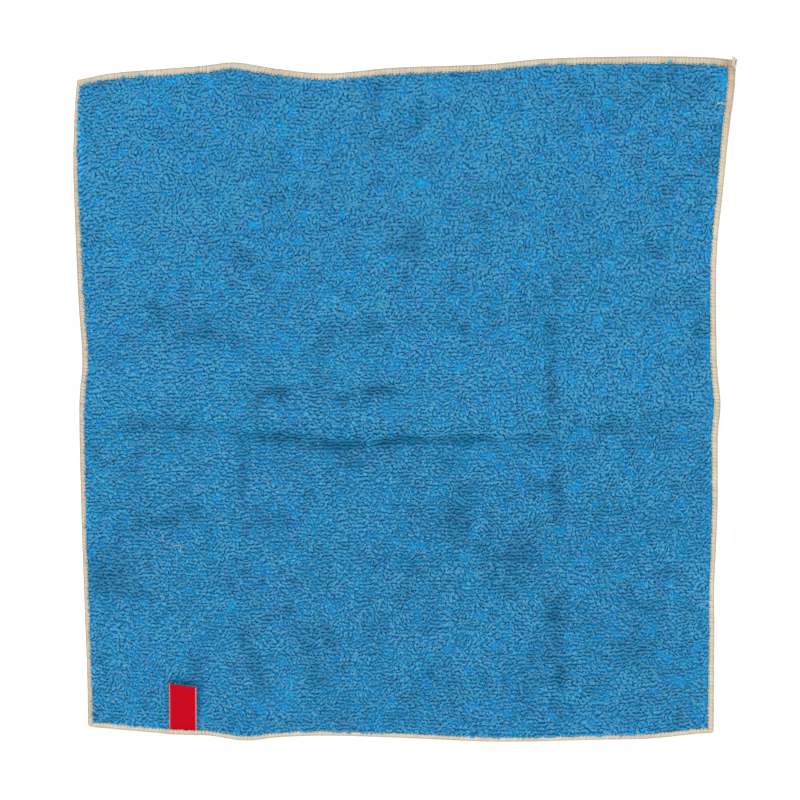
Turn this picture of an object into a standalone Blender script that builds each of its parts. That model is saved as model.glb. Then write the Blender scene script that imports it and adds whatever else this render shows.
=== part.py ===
"""Hand towel of looped terry cloth lying flat, with overlocked edges and a folded tape label.

Metres in the model, millimetres in the tables. +Z is up, +Y is the towel's upper edge, and the
origin is on the surface it rests on, under the middle of its outline.
"""

import math

import bmesh
import bpy
import numpy as np

MM = 0.001

# Cloth
TOWEL_WIDE, TOWEL_LONG = 340, 355
PILE_THICK = 2.8  # base cloth with the loops of both faces
PILE_ROUND = 0.2  # the pile's rim is this much lower
PILE_TURN = 0.8  # width over which it gets lower
PILE_SLOPE = 0.4  # width of the pile's side, down to the bare base cloth
BASE_THICK = 0.8  # bare base cloth, where the edging wraps it
BASE_HEIGHT = 0.9  # underside of the base cloth above the surface
BASE_TOP = BASE_HEIGHT + BASE_THICK
BASE_RIM = 0.9  # how far the bare rim stays inside the outline
CELL = 8.6  # size of the mesh's cells

# Edging, a band of thread round the rim of the cloth
BAND_WIDE = 3.7
BAND_THICK = 2.4
BAND_ROUND = 0.7  # its outer side is rounded by this much
BAND_LIP = 0.2  # and its inner edge by this much
CHANNEL_END = 0.6  # inset of the bottom of the channel that holds the cloth's rim
CLEAR = 0.3  # gap between touching pieces
MITRE_SETBACK = 0.22  # each band stops this far short of the corner's diagonal
CORNER_BLUNT = 0.5

# Tape label
TAPE_THICK = 0.4
TAPE_LEFT, TAPE_RIGHT = -124.8, -110.5
TAPE_FOLD_LEFT, TAPE_FOLD_RIGHT = -151.0, -152.9  # y of the folded end at each side
TAPE_SEAM = 1.4  # how far inside the outline its cut ends lie, in the band
TAPE_LAYER_GAP = 0.3
TAPE_STEPS = 4
FOLD_TURN = (-60, -20, 20, 60)  # degrees round the fold at which its section has points
TAPE_MARGIN = 1.2  # the band swells this far past each side of the tape
TAPE_SHOULDER = 5.0  # and falls back over this length
PILE_PRESSED = 0.7  # how far the tape presses the pile down beside the band
# Share of the way from the band to the fold, height above the pile, added gap between the layers
TAPE_COURSE = (
    (0.11, 0.0, 0.1),
    (0.37, 0.0, 0.2),
    (0.63, 0.1, 0.3),
    (0.92, 0.6, 0.5),
    (1.00, 1.0, 0.5),
)

# Outline seen from above, corner to corner: x, y
BOTTOM_SIDE = (
    (-168.3, -173.8),
    (-156.4, -175.0),
    (-124.6, -177.7),
    (-105.0, -178.5),
    (-84.8, -181.2),
    (-64.0, -179.3),
    (-37.1, -178.7),
    (2.7, -180.0),
    (50.4, -181.9),
    (106.1, -180.8),
    (129.9, -180.2),
    (153.8, -177.8),
    (163.9, -177.2),
)
RIGHT_SIDE = (
    (163.9, -177.2),
    (164.2, -122.5),
    (164.2, -98.6),
    (165.9, -58.9),
    (166.1, -20.0),
    (167.5, -3.2),
    (165.6, 20.7),
    (165.4, 74.0),
    (168.6, 108.2),
    (171.8, 140.0),
    (175.0, 165.0),
    (175.6, 179.9),
)
TOP_SIDE = (
    (-174.0, 169.2),
    (-156.4, 172.9),
    (-132.6, 175.0),
    (-108.0, 176.9),
    (-90.2, 178.7),
    (-68.0, 175.4),
    (-41.0, 172.9),
    (-5.3, 176.0),
    (42.4, 177.7),
    (74.2, 180.7),
    (122.0, 182.0),
    (158.0, 181.6),
    (175.6, 179.9),
)
LEFT_SIDE = (
    (-168.3, -173.8),
    (-168.7, -146.4),
    (-170.2, -106.6),
    (-171.8, -58.9),
    (-172.9, -5.0),
    (-171.3, 20.7),
    (-173.4, 52.5),
    (-175.4, 100.2),
    (-176.1, 128.0),
    (-175.2, 155.0),
    (-174.0, 169.2),
)

# Creases left by folding: start, middle and end (x, y), height (below 0 for a trough),
# and the width of the slope on the left and on the right of its run
CREASES = (
    # across the middle, the crest above the shaded line
    ((-190, 4), (-105, -6), (-60, -15), 2.6, 13, 7),
    ((-92, -13), (-22, -16), (52, -15), 4.2, 12, 6),
    ((30, -15), (100, -6), (190, 6), 2.9, 17, 8),
    # lines above it
    ((-92, 13), (-42, 12), (6, 11), 1.7, 7, 5),
    ((-158, 52), (-112, 44), (-74, 42), 1.8, 14, 8),
    ((-80, 46), (0, 46), (82, 44), 0.9, 12, 8),
    # folds that run down the towel
    ((-88, 200), (-90, 120), (-87, 40), 1.5, 9, 9),
    ((-86, -30), (-85, -110), (-84, -200), 1.9, 10, 8),
    ((62, 120), (66, -40), (70, -200), 1.5, 9, 14),
    ((96, 112), (95, -40), (98, -200), 1.6, 15, 9),
    # short marks
    ((14, -20), (30, -46), (44, -84), 1.1, 7, 6),
    ((-126, -70), (-98, -70), (-70, -84), 1.0, 9, 7),
    ((112, -122), (132, -126), (146, -142), 1.2, 10, 7),
)

# Low swells and hollows of the cloth: x, y, half width across, half width up, height
SWELLS = (
    (-128, 120, 34, 30, 1.2),
    (-40, 150, 30, 22, 1.5),
    (0, 108, 22, 28, 0.8),
    (32, 152, 20, 14, -0.8),
    (88, 132, 34, 30, 1.2),
    (140, 168, 16, 10, 1.4),
    (138, 78, 20, 18, 1.0),
    (120, 34, 44, 14, 1.4),
    (-20, 74, 40, 16, 0.9),
    (-140, 22, 30, 12, 1.1),
    (-138, -64, 22, 16, 1.0),
    (-50, -60, 26, 22, 0.9),
    (-128, -118, 30, 12, 1.3),
    (-54, -134, 22, 26, 1.0),
    (18, -128, 28, 26, 0.9),
    (136, -60, 22, 22, 0.9),
    (150, -110, 12, 40, 1.5),
)
CREASE_STEPS = 25
CREASE_FADE = 0.6  # below 1, a crease stays high for longer before it fades at its ends
CREASE_END = 0.04  # share of its length from which the fade is counted
RESTING = 0.25  # unevenness below this lies flat under the cloth's own weight
SOFT_LIFT = 0.7  # how softly a slope leaves the surface
SHARP_ANGLE = 50  # edges that turn by more degrees than this look sharp

TERRY_BLUE = (0.030, 0.225, 0.440, 1.0)
THREAD_BEIGE = (0.70, 0.58, 0.40, 1.0)
TAPE_RED = (0.52, 0.01, 0.02, 1.0)


def clear_scene():
    for thing in list(bpy.data.objects):
        bpy.data.objects.remove(thing)


def material(name, colour, roughness):
    made = bpy.data.materials.new(name)
    made.use_nodes = True
    shader = made.node_tree.nodes["Principled BSDF"]
    shader.inputs["Base Color"].default_value = colour
    shader.inputs["Roughness"].default_value = roughness
    shader.inputs["Metallic"].default_value = 0.0
    made.diffuse_color = colour
    return made


def add_object(name, bm, look):
    bmesh.ops.recalc_face_normals(bm, faces=bm.faces)
    bmesh.ops.scale(bm, vec=(MM, MM, MM), verts=bm.verts)
    mesh = bpy.data.meshes.new(name)
    bm.to_mesh(mesh)
    bm.free()
    mesh.shade_smooth()
    mesh.set_sharp_from_angle(angle=math.radians(SHARP_ANGLE))
    mesh.materials.append(look)
    thing = bpy.data.objects.new(name, mesh)
    bpy.context.scene.collection.objects.link(thing)
    return thing


def smooth_curve(points, steps_between=12):
    """Points along a smooth curve through the given ones."""
    given = np.array(points, float)
    ends = np.vstack([2 * given[0] - given[1], given, 2 * given[-1] - given[-2]])
    curve = []
    for before, here, there, after in zip(ends, ends[1:], ends[2:], ends[3:]):
        for t in np.linspace(0, 1, steps_between, endpoint=False):
            curve.append(
                0.5
                * (
                    2 * here
                    + (there - before) * t
                    + (2 * before - 5 * here + 4 * there - after) * t**2
                    + (3 * here - before - 3 * there + after) * t**3
                )
            )
    curve.append(given[-1])
    return np.array(curve)


def spaced_along(curve, count, snap_x=()):
    """count + 1 points evenly spaced along a curve; the nearest point moves to each x of snap_x."""
    run = np.concatenate([[0], np.cumsum(np.linalg.norm(np.diff(curve, axis=0), axis=1))])
    places = np.linspace(0, run[-1], count + 1)
    for x in snap_x:
        wanted = np.interp(x, curve[:, 0], run)
        places[np.argmin(np.abs(places - wanted))] = wanted
    return np.stack([np.interp(places, run, curve[:, axis]) for axis in (0, 1)], axis=1)


def towel_sides():
    """The four sides as evenly spaced points, centred on the outline's bounding box."""
    curves = [smooth_curve(side) for side in (BOTTOM_SIDE, RIGHT_SIDE, TOP_SIDE, LEFT_SIDE)]
    outline = np.vstack(curves)
    middle = (outline.min(axis=0) + outline.max(axis=0)) / 2
    across = round(TOWEL_WIDE / CELL)
    up = round(TOWEL_LONG / CELL)
    beside_tape = (TAPE_LEFT - TAPE_MARGIN, TAPE_RIGHT + TAPE_MARGIN)
    bottom = spaced_along(curves[0], across, beside_tape) - middle
    right = spaced_along(curves[1], up) - middle
    top = spaced_along(curves[2], across) - middle
    left = spaced_along(curves[3], up) - middle
    return bottom, right, top, left, middle


def ring_of(bottom, right, top, left):
    """One closed ring of points, anticlockwise from the lower left corner."""
    return np.vstack([bottom[:-1], right[:-1], top[::-1][:-1], left[::-1][:-1]])


def inward_mitres(ring):
    """For each point of the ring, the step that moves both of its edges inward by 1."""
    ahead = np.roll(ring, -1, axis=0) - ring
    ahead /= np.linalg.norm(ahead, axis=1)[:, None]
    inward = np.stack([-ahead[:, 1], ahead[:, 0]], axis=1)
    before = np.roll(inward, 1, axis=0)
    return (inward + before) / (1 + (inward * before).sum(axis=1))[:, None]


def patch_between(bottom, right, top, left):
    """A grid of points that blends the four sides, as [column, row]."""
    u = np.linspace(0, 1, len(bottom))[:, None, None]
    v = np.linspace(0, 1, len(left))[None, :, None]
    across = (1 - v) * bottom[:, None] + v * top[:, None]
    up = (1 - u) * left[None, :] + u * right[None, :]
    corners = (1 - v) * ((1 - u) * bottom[0] + u * bottom[-1]) + v * ((1 - u) * top[0] + u * top[-1])
    return across + up - corners


def crease_height(points, start, middle, end, height, left_wide, right_wide):
    """Height of one crease over the points; it fades out towards both of its ends."""
    start, middle, end = (np.array(place, float) for place in (start, middle, end))
    t = np.linspace(0, 1, CREASE_STEPS)[:, None]
    bend = 2 * middle - (start + end) / 2
    run = (1 - t) ** 2 * start + 2 * t * (1 - t) * bend + t**2 * end
    away = points[:, None, :] - run[None, :, :]
    near = np.argmin((away**2).sum(axis=2), axis=1)
    along = np.gradient(run, axis=0)
    along /= np.linalg.norm(along, axis=1)[:, None]
    offset = away[np.arange(len(points)), near]
    heading = along[near]
    side = heading[:, 0] * offset[:, 1] - heading[:, 1] * offset[:, 0]
    past = (heading * offset).sum(axis=1)
    wide = np.where(side > 0, left_wide, right_wide)
    fade = np.sin(np.pi * np.clip(t[near, 0], CREASE_END, 1 - CREASE_END)) ** CREASE_FADE
    return height * fade * np.exp(-((side / wide) ** 2) - (past / wide) ** 2)


def lift_at(points, middle):
    """How far the cloth stands off the surface at each point, 0 where it rests."""
    places = np.atleast_2d(points) + middle
    lift = np.zeros(len(places))
    for crease in CREASES:
        lift += crease_height(places, *crease)
    for x, y, half_wide, half_high, height in SWELLS:
        away = ((places[:, 0] - x) / half_wide) ** 2 + ((places[:, 1] - y) / half_high) ** 2
        lift += height * np.exp(-away)
    raised = np.clip(lift - RESTING, 0, None)
    return raised**2 / (raised + SOFT_LIFT)


def edges_round(bm, loop):
    """The edges of a closed loop of vertices."""
    return [bm.edges.get(pair) for pair in zip(loop, loop[1:] + loop[:1])]


def grow(bm, loop, places):
    """Extrudes a closed loop of vertices to its next places, and returns the new loop."""
    made = bmesh.ops.extrude_edge_only(bm, edges=edges_round(bm, loop))["geom"]
    fresh = {item for item in made if isinstance(item, bmesh.types.BMVert)}
    grown = []
    for old, place in zip(loop, places):
        edge = next(e for e in old.link_edges if e.other_vert(old) in fresh)
        vert = edge.other_vert(old)
        vert.co = place
        grown.append(vert)
    return grown


def cloth_face(bm, field, heights):
    """One face of the pile field; returns its rim, anticlockwise from the lower left corner."""
    columns, rows = field.shape[:2]
    made = bmesh.ops.create_grid(bm, x_segments=columns - 1, y_segments=rows - 1, size=1.0)["verts"]
    at = {}
    for vert in made:
        column = round((vert.co.x + 1) / 2 * (columns - 1))
        row = round((vert.co.y + 1) / 2 * (rows - 1))
        vert.co = (*field[column, row], heights[column, row])
        at[column, row] = vert
    last_column, last_row = columns - 1, rows - 1
    rim = [at[column, 0] for column in range(last_column)]
    rim += [at[last_column, row] for row in range(last_row)]
    rim += [at[column, last_row] for column in range(last_column, 0, -1)]
    rim += [at[0, row] for row in range(last_row, 0, -1)]
    return rim


def make_cloth(sides, look):
    """Pile field, shoulder and the thin rim of base cloth that goes into the edging."""
    bottom, right, top, left, middle = sides
    ring = ring_of(bottom, right, top, left)
    mitres = inward_mitres(ring)
    rim_lift = lift_at(ring, middle)
    foot = BAND_WIDE + CLEAR
    shoulder = foot + PILE_SLOPE
    inner = ring + (shoulder + PILE_TURN) * mitres
    last_column, last_row = len(bottom) - 1, len(left) - 1
    corner = (0, last_column, last_column + last_row, 2 * last_column + last_row)
    closed = np.vstack([inner, inner[:1]])
    field = patch_between(
        closed[corner[0] : corner[1] + 1],
        closed[corner[1] : corner[2] + 1],
        closed[corner[2] : corner[3] + 1][::-1],
        closed[corner[3] :][::-1],
    )
    lift = lift_at(field.reshape(-1, 2), middle).reshape(field.shape[:2])
    pressed = tape_share(ring, middle)
    pile_top = lift + PILE_THICK
    pile_top[:, 0] -= PILE_PRESSED * pressed[: last_column + 1]

    # inset from the outline and height of each ring, from the pile out to the base cloth's rim
    over = ((shoulder, PILE_THICK - PILE_ROUND), (foot, BASE_TOP), (BASE_RIM, BASE_TOP))
    under = ((shoulder, 0.0), (foot, BASE_HEIGHT), (BASE_RIM, BASE_HEIGHT))

    bm = bmesh.new()
    upper = cloth_face(bm, field, pile_top)
    lower = cloth_face(bm, field, lift)
    for inset, height in over:
        heights = rim_lift + np.maximum(height - PILE_PRESSED * pressed, BASE_TOP)
        upper = grow(bm, upper, np.column_stack([ring + inset * mitres, heights]))
    for inset, height in under:
        lower = grow(bm, lower, np.column_stack([ring + inset * mitres, rim_lift + height]))
    bmesh.ops.bridge_loops(bm, edges=edges_round(bm, upper) + edges_round(bm, lower))
    return add_object("terry_cloth", bm, look)


def sweep(bm, sections):
    """A solid through a row of closed sections with the same number of points."""
    loop = [bm.verts.new(point) for point in sections[0]]
    bm.faces.new(loop)
    for section in sections[1:]:
        loop = grow(bm, loop, section)
    bm.faces.new(loop)


def tape_share(ring, middle):
    """1 where the bottom side lies under the tape, falling to 0 beside it and on the other sides."""
    x, y = (ring + middle).T
    past = np.maximum(TAPE_LEFT - TAPE_MARGIN - x, x - TAPE_RIGHT - TAPE_MARGIN)
    share = np.clip(1 - past / TAPE_SHOULDER, 0, 1)
    return np.where(y < TAPE_FOLD_RIGHT, share, 0.0)


def band_section(bulge):
    """Inset and height of the band's section, a C that wraps the cloth's rim and swells over the tape."""
    channel_low = BASE_HEIGHT - CLEAR
    channel_high = BASE_TOP + CLEAR + bulge
    top = BAND_THICK + bulge
    return (
        (BAND_WIDE, channel_high),
        (BAND_WIDE - BAND_LIP, top),
        (BAND_ROUND, top),
        (0.0, top - BAND_ROUND),
        (0.0, BAND_ROUND),
        (BAND_ROUND, 0.0),
        (BAND_WIDE, 0.0),
        (BAND_WIDE, channel_low),
        (CHANNEL_END, channel_low),
        (CHANNEL_END, channel_high),
    )


def make_band(name, sides, first, count, look):
    """One side's band, mitred at both corners."""
    ring = ring_of(*sides[:4])
    mitres = inward_mitres(ring)
    middle = sides[4]
    rim_lift = lift_at(ring, middle)
    bulges = (2 * TAPE_THICK + TAPE_LAYER_GAP + CLEAR) * tape_share(ring, middle)
    sections = []
    for step in range(count + 1):
        index = (first + step) % len(ring)
        point, mitre = ring[index], mitres[index]
        shift = np.zeros(2)
        blunt = 0.0
        if step in (0, count):
            beside = ring[(first + (1 if step == 0 else count - 1)) % len(ring)]
            shift = MITRE_SETBACK * (beside - point) / np.linalg.norm(beside - point)
            blunt = CORNER_BLUNT
        section = []
        for inset, height in band_section(bulges[index]):
            x, y = point + max(inset, blunt) * mitre + shift
            section.append((x, y, rim_lift[index] + height))
        sections.append(section)
    bm = bmesh.new()
    sweep(bm, sections)
    return add_object(name, bm, look)


def tape_section(x, fold_y, middle, rim_y):
    """Section of the folded tape at one x: out over the pile, round the fold and back above."""
    rows = np.array(TAPE_COURSE)
    layer = TAPE_THICK + TAPE_LAYER_GAP
    outer_radius = (layer + rows[-1, 2] + TAPE_THICK) / 2
    mouth_y = rim_y + BAND_WIDE + CLEAR
    run_y = mouth_y + rows[:, 0] * (fold_y - outer_radius - mouth_y)
    run_y = np.concatenate([[rim_y + TAPE_SEAM, mouth_y], run_y])
    places = np.array([(x, y) for y in run_y]) - middle
    lift = lift_at(places, middle)
    lift[:2] = lift_at(np.array([(x, rim_y)]) - middle, middle)
    in_band = [BASE_TOP + CLEAR] * 2
    low = lift + np.concatenate([in_band, PILE_THICK + CLEAR + rows[:, 1]])
    high = low + layer + np.concatenate([[0, 0], rows[:, 2]])
    y = places[:, 1]
    turn = np.radians(FOLD_TURN)

    def fold(radius):
        return [(y[-1] + radius * math.cos(a), low[-1] + outer_radius + radius * math.sin(a)) for a in turn]

    section = [*zip(y, low), *fold(outer_radius), *zip(y[::-1], (high + TAPE_THICK)[::-1])]
    inner_side = fold(outer_radius - TAPE_THICK)[::-1]
    section += [*zip(y, high), *inner_side, *zip(y[::-1], (low + TAPE_THICK)[::-1])]
    return [(x - middle[0], *place) for place in section]


def make_tape(sides, look):
    middle = sides[4]
    bottom = sides[0] + middle
    sections = []
    for x in np.linspace(TAPE_LEFT, TAPE_RIGHT, TAPE_STEPS):
        share = (x - TAPE_LEFT) / (TAPE_RIGHT - TAPE_LEFT)
        fold_y = TAPE_FOLD_LEFT + share * (TAPE_FOLD_RIGHT - TAPE_FOLD_LEFT)
        rim_y = np.interp(x, bottom[:, 0], bottom[:, 1])
        sections.append(tape_section(x, fold_y, middle, rim_y))
    bm = bmesh.new()
    sweep(bm, sections)
    return add_object("label_tape", bm, look)


def main():
    clear_scene()
    terry = material("terry", TERRY_BLUE, 0.9)
    thread = material("edging_thread", THREAD_BEIGE, 0.7)
    tape = material("label_tape", TAPE_RED, 0.6)
    sides = towel_sides()
    across, up = len(sides[0]) - 1, len(sides[3]) - 1
    make_cloth(sides, terry)
    make_band("edging_bottom", sides, 0, across, thread)
    make_band("edging_right", sides, across, up, thread)
    make_band("edging_top", sides, across + up, across, thread)
    make_band("edging_left", sides, 2 * across + up, up, thread)
    make_tape(sides, tape)


main()
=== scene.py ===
import math

import bmesh
import bpy
import numpy as np
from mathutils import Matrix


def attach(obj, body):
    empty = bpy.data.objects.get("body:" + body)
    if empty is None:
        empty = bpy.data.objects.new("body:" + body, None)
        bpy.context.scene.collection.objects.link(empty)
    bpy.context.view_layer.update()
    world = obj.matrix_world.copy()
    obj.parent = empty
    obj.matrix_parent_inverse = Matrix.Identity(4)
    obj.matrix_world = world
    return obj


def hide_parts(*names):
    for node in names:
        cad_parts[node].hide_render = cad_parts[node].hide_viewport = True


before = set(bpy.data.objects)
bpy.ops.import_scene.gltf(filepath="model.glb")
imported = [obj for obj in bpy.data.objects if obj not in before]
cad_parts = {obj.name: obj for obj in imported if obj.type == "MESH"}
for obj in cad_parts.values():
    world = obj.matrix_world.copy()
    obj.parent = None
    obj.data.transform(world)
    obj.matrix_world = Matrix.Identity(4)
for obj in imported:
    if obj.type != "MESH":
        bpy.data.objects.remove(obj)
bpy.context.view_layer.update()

# Hand towel of looped terry cloth with an overlocked edging and a folded tape label.
# Lengths are millimetres until a mesh is finished; +Y is the towel's upper edge, +Z is up.

MM = 0.001
DRIFT_CELLS, DRIFT_MIDDLE = 300, 140  # cells of a random field, and the one at the towel's middle

# Seen from straight above, with 424 mm of the table across the picture
VIEW_ACROSS = 424.2
VIEW_CENTRE = (-2.4, -0.6)
LENS, SENSOR = 100.0, 36.0

# An even white sky, and a soft window past the upper edge: metres and watts
SKY_STRENGTH = 1.50
WINDOW_WIDE, WINDOW_HIGH, WINDOW_POWER = 1.2, 0.8, 8
WINDOW_PLACE = (-0.35, 1.15, 1.25)
TABLE_HALF = 2.0

# Cloth
TOWEL_WIDE, TOWEL_LONG = 340, 355
WIDEST = 352  # across the outline, corners and bows included
PILE_THICK = 2.8
BASE_LOW, BASE_TOP = 0.9, 1.7  # bare base cloth where the edging wraps it
BASE_RIM = 0.9  # inset of the base cloth's cut edge
ROOTS_TOP = 1.45  # ground that shows between the loops
RIM_STEPS = (BASE_RIM, 2.3, 3.5, 4.3, 5.6)  # insets of the first rows of the base's mesh
BASE_STEP = 3.4
BASE_TONES = (0.25, 1.2)  # darkest and brightest of the ground
# Painted shade on the ground inside the edging, under its stitches
IN_EDGING_SHADE = 0.6
OFF_TABLE = 0.1  # lowest that any yarn or thread hangs

# One seed for each thing that is left to chance
SEEDS = {"loops": 11, "rim": 17, "turn": 3, "lean": 5, "rows": 8, "hue": 22, "stitches": 5, "thread": 31}

# Pile of the upper face
ROW_PITCH, LOOP_PITCH = 1.92, 1.74
YARN_WIDE, YARN_THICK = 2.00, 1.10
LOOP_SIDES = 3
LOOP_LEAN = 40  # degrees towards the lower edge
ROOT_DEPTH = 0.3  # how far the loops start below the ground
TIPS_BELOW = 0.2  # the yarn has its tip's colour from this far below the pile's top
PILE_STRIPS = 5
PILE_RAGGED = 0.25  # how unevenly its outermost loops stand
PILE_PAST_EDGING = {"bottom": 1.0, "right": 0.6, "top": 0.8, "left": 0.5}
# A loop's arch: share of its half span, share of its height
LOOP_ARCH = ((-1.0, 0.0), (-0.55, 0.95), (0.55, 0.95), (1.0, 0.0))
# Curl of a loop: turn of its top in degrees, sideways bend, half span, height
LOOP_CURLS = (
    (0, 0.2, 1.35, 1.50),
    (30, 0.5, 1.24, 1.58),
    (-35, -0.4, 1.30, 1.54),
    (60, 0.35, 1.15, 1.62),
    (-65, 0.2, 1.15, 1.50),
    (12, 0.7, 1.44, 1.42),
    (-15, -0.55, 1.40, 1.46),
)

# Where the nap swirls instead of lying in rows, or (below 0) lies straighter than elsewhere:
# x, y, half width across, half width up, share
SWIRLS = (
    (75, 112, 120, 75, 1.0),
    (-80, 120, 60, 60, 0.45),
    (130, 20, 50, 60, 0.35),
    (90, -60, 70, 60, 0.3),
    (0, -120, 60, 40, 0.3),
    (-140, -150, 30, 20, 0.4),
    (-100, 0, 90, 55, -0.5),
)

# Where the pile is parted and shows its roots, with painted shade (below 0), or is closed up,
# with painted light (above 0): x, y, half width across, half width up, amount
NAP_MARKS = (
    # along the fold across the middle
    (-145.8, -14.3, 20, 4, -0.5),
    (-111.4, -15.4, 16, 4, -0.35),
    (-68.9, -19.6, 16, 3.4, -1.4),
    (-37.1, -23.9, 18, 3.6, -1.4),
    (2.7, -21.7, 20, 3.4, -1.3),
    (30.2, -21.7, 12, 3, -0.9),
    (58.3, -20.7, 20, 2.6, -0.8),
    (103.4, -14.3, 22, 4, -0.7),
    (140.5, -7.4, 20, 3, -0.4),
    (20.2, -35.5, 5, 6, -0.6),
    (27.6, -58.9, 7, 18, -0.4),
    (-55.7, -8.5, 26, 2.6, 0.6),
    (18.6, -6.9, 30, 3, 0.5),
    # above it
    (-67.9, 4.8, 12, 3.5, -1.1),
    (-35.5, 1.1, 6, 3, -0.6),
    (-14.3, 4.2, 10, 3.6, -1.2),
    (-26.5, 39, 28, 4, -0.3),
    (45, 39, 28, 4, -0.3),
    (-135, 46, 12, 8, -0.4),
    (-111.4, 37.7, 12, 7, -0.7),
    (-87.5, 30.2, 12, 6, -0.5),
    (-82.2, 65.8, 7, 12, -0.3),
    (-102.3, 50.4, 6, 5, 0.6),
    (-130, 10, 42, 11, 0.6),
    (38, 18, 34, 8, 0.45),
    (122, 12, 38, 12, 0.75),
    # down the crease on the right
    (79.5, 63, 3.5, 28, -0.6),
    (77.4, 18, 3.2, 22, -1.0),
    (80.7, -48, 3.5, 22, -0.9),
    (78.5, -112, 4.5, 20, -0.9),
    (81.7, -149, 4, 20, -0.8),
    # upper part
    (5.3, 148, 6, 8, -0.6),
    (39.8, 97.6, 8, 14, -0.6),
    (5.3, 81.7, 5, 12, -0.4),
    (-45, 132, 7, 8, -0.25),
    (152.2, 159.6, 10, 8, -0.8),
    (136, 171, 12, 6, -0.6),
    (167, 137, 4, 12, -0.6),
    (132.6, 81, 17, 6, -0.6),
    (98, 79, 8, 10, -0.35),
    (98, 103, 12, 8, -0.3),
    (-128, 118, 38, 36, 0.45),
    (46, 140, 30, 26, 0.45),
    (71.6, 116, 10, 12, 0.3),
    (-34.5, 156, 12, 8, 0.5),
    (-74, 145, 12, 10, 0.3),
    (105, 132, 11, 14, 0.5),
    # lower part
    (-130, -64.7, 14, 4, -0.7),
    (-157.5, -96, 9, 16, -0.5),
    (-84.8, -127.8, 6, 16, -0.6),
    (-42.4, -125, 7, 10, -0.5),
    (62, -77.4, 8, 12, -0.6),
    (124.6, -135.8, 14, 7, -0.6),
    (127, -113, 10, 6, -0.35),
    (-85.9, -37.6, 3, 14, -0.5),
    (154.8, -96, 5, 16, 0.8),
    (156.4, -135.8, 4, 12, 0.6),
    (-127, -127.8, 20, 7, 0.6),
    (-60, -154, 8, 10, 0.6),
    (50, -51, 6, 10, 0.35),
    (103, -37.6, 10, 10, 0.3),
    (-5.3, -135.8, 8, 12, 0.35),
    (0, -90, 190, 60, -0.15),
)
# Yarn in the label's shadow, or (below 0) pale beside the edging: x, y, half width across,
# half width up, share
SHADED = (
    (-121.5, -149.6, 4, 1.3, 0.8),
    (-115.2, -150.4, 4, 1.3, 0.9),
    (-109.6, -152.6, 2.2, 1.8, 0.6),
    (-109.1, -161.0, 1.1, 8, 0.7),
    (-126.0, -162.0, 0.9, 8, 0.4),
    (160.5, -174.6, 4, 1.6, -0.8),
    (118, -176.6, 34, 1.2, -0.35),
    (-148, -172.4, 16, 1.4, -0.5),
    (-165.8, -140, 1.3, 24, -0.45),
    (-168.2, -70, 1.3, 30, -0.35),
    (-172.6, 128, 1.4, 26, -0.5),
    (-40, 169.6, 24, 1.2, -0.4),
    (165.6, 90, 1.2, 20, -0.4),
)
SHADE_TONE = 0.72

# Where the pile is rougher, its loops thin and tall, or (below 0) smoother, with painted shade
# and light on the yarn: x, y, half width across, half width up, share
ROUGHER = (
    (0, 172, 280, 50, -0.9),
    (-60, 110, 100, 34, -0.8),
    (70, 100, 70, 24, -0.5),
    (-30, -25, 130, 60, 0.55),
    (40, -95, 150, 50, 0.35),
    (150, 15, 40, 30, -0.3),
)
ROUGH_THINNER, ROUGH_TALLER = 0.18, 0.10
# Painted shade at the roots and painted light at the tips where the pile is rough, the reverse where
# smooth
ROUGH_TIP_LIGHT, ROUGH_ROOT_SHADE, SMOOTH_ROOT_LIGHT = 0.09, 0.40, 0.05  # change of the yarn's brightness

# Random patches of the nap: size, amount, seed; and the nap's bounds, parted and closed up
NAP_PATCHES = ((3.0, 0.35, 21), (6.5, 0.35, 23), (16, 0.25, 24))
NAP_BOUNDS = (-1.3, 1.2)
# What the nap does: painted shade where parted, painted light where closed up, and the loops' shape
PARTED_LOOP_SHADE, PARTED_GROUND_SHADE, CLOSED_LIGHT = 0.40, 0.7, 0.13
BRIGHTEST = 1.04  # no loop is brighter than this share of the usual tone
PARTED_UPRIGHT, PARTED_THINNER, CLOSED_LARGER = 0.7, 0.28, 0.08
# Loops sunk between the others, lower, with painted shade; how far nap and roughness change their share
SUNK_SHARE, SUNK_HEIGHT, SUNK_SHADE = 0.14, 0.78, 0.90
SUNK_BY_PLACE = 0.8

# How the loops stray, in soft waves over the pile (their sizes first) and each by itself;
# turn and lean are radians
TURN_WAVE_SIZE, LEAN_WAVE_SIZE, HUE_WAVE_SIZE = 5.0, 6.0, 12
TURN_WAVE, SWIRL_WAVE, LEAN_WAVE, ROW_WAVE, HUE_WAVE = 0.95, 1.8, 0.3, 0.5, 0.004
TURN_STRAY, SWIRL_STRAY, LEAN_STRAY, ROOT_STRAY = 0.2, 0.35, 0.18, 0.2
SIZE_STRAY, TONE_STRAY, HUE_STRAY = 0.08, 0.04, 0.005
USUAL_HUE, PARTED_HUE = 0.5, 0.005

# Edging
BAND_WIDE, BAND_THICK = 3.7, 2.4
STITCH_PITCH = 1.88
CORNER_RADII = (1.6, 0.9, 0.9, 2.2)  # lower right, upper right, upper left, lower left
THREAD_SIDES = 4
STRAND_THICK = 0.40
STITCH_SLANT = 0.45  # how far a stitch runs on along the rim as it crosses the band
# Width of the edging that the pile leaves in sight, evenly spaced along each side
EDGING_SHOWS = {
    "bottom": (2.8, 2.4, 2.4, 2.7, 2.5, 2.0, 2.9, 2.6, 2.4, 2.5, 2.0, 3.2, 3.4),
    "right": (3.2, 3.0, 2.8, 2.7, 3.1, 3.5, 3.6, 3.1, 3.1, 3.3, 3.9, 4.1),
    "top": (3.4, 3.7, 4.0, 3.9, 3.6, 3.7, 3.9, 3.9, 3.5, 3.8, 4.1, 4.2, 4.1),
    "left": (2.9, 2.3, 2.6, 2.4, 2.7, 2.7, 3.3, 3.2, 3.2, 2.7, 2.2, 2.0),
}
EDGING_TONE = {"bottom": 0.98, "right": 0.95, "top": 0.84, "left": 0.85}
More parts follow.
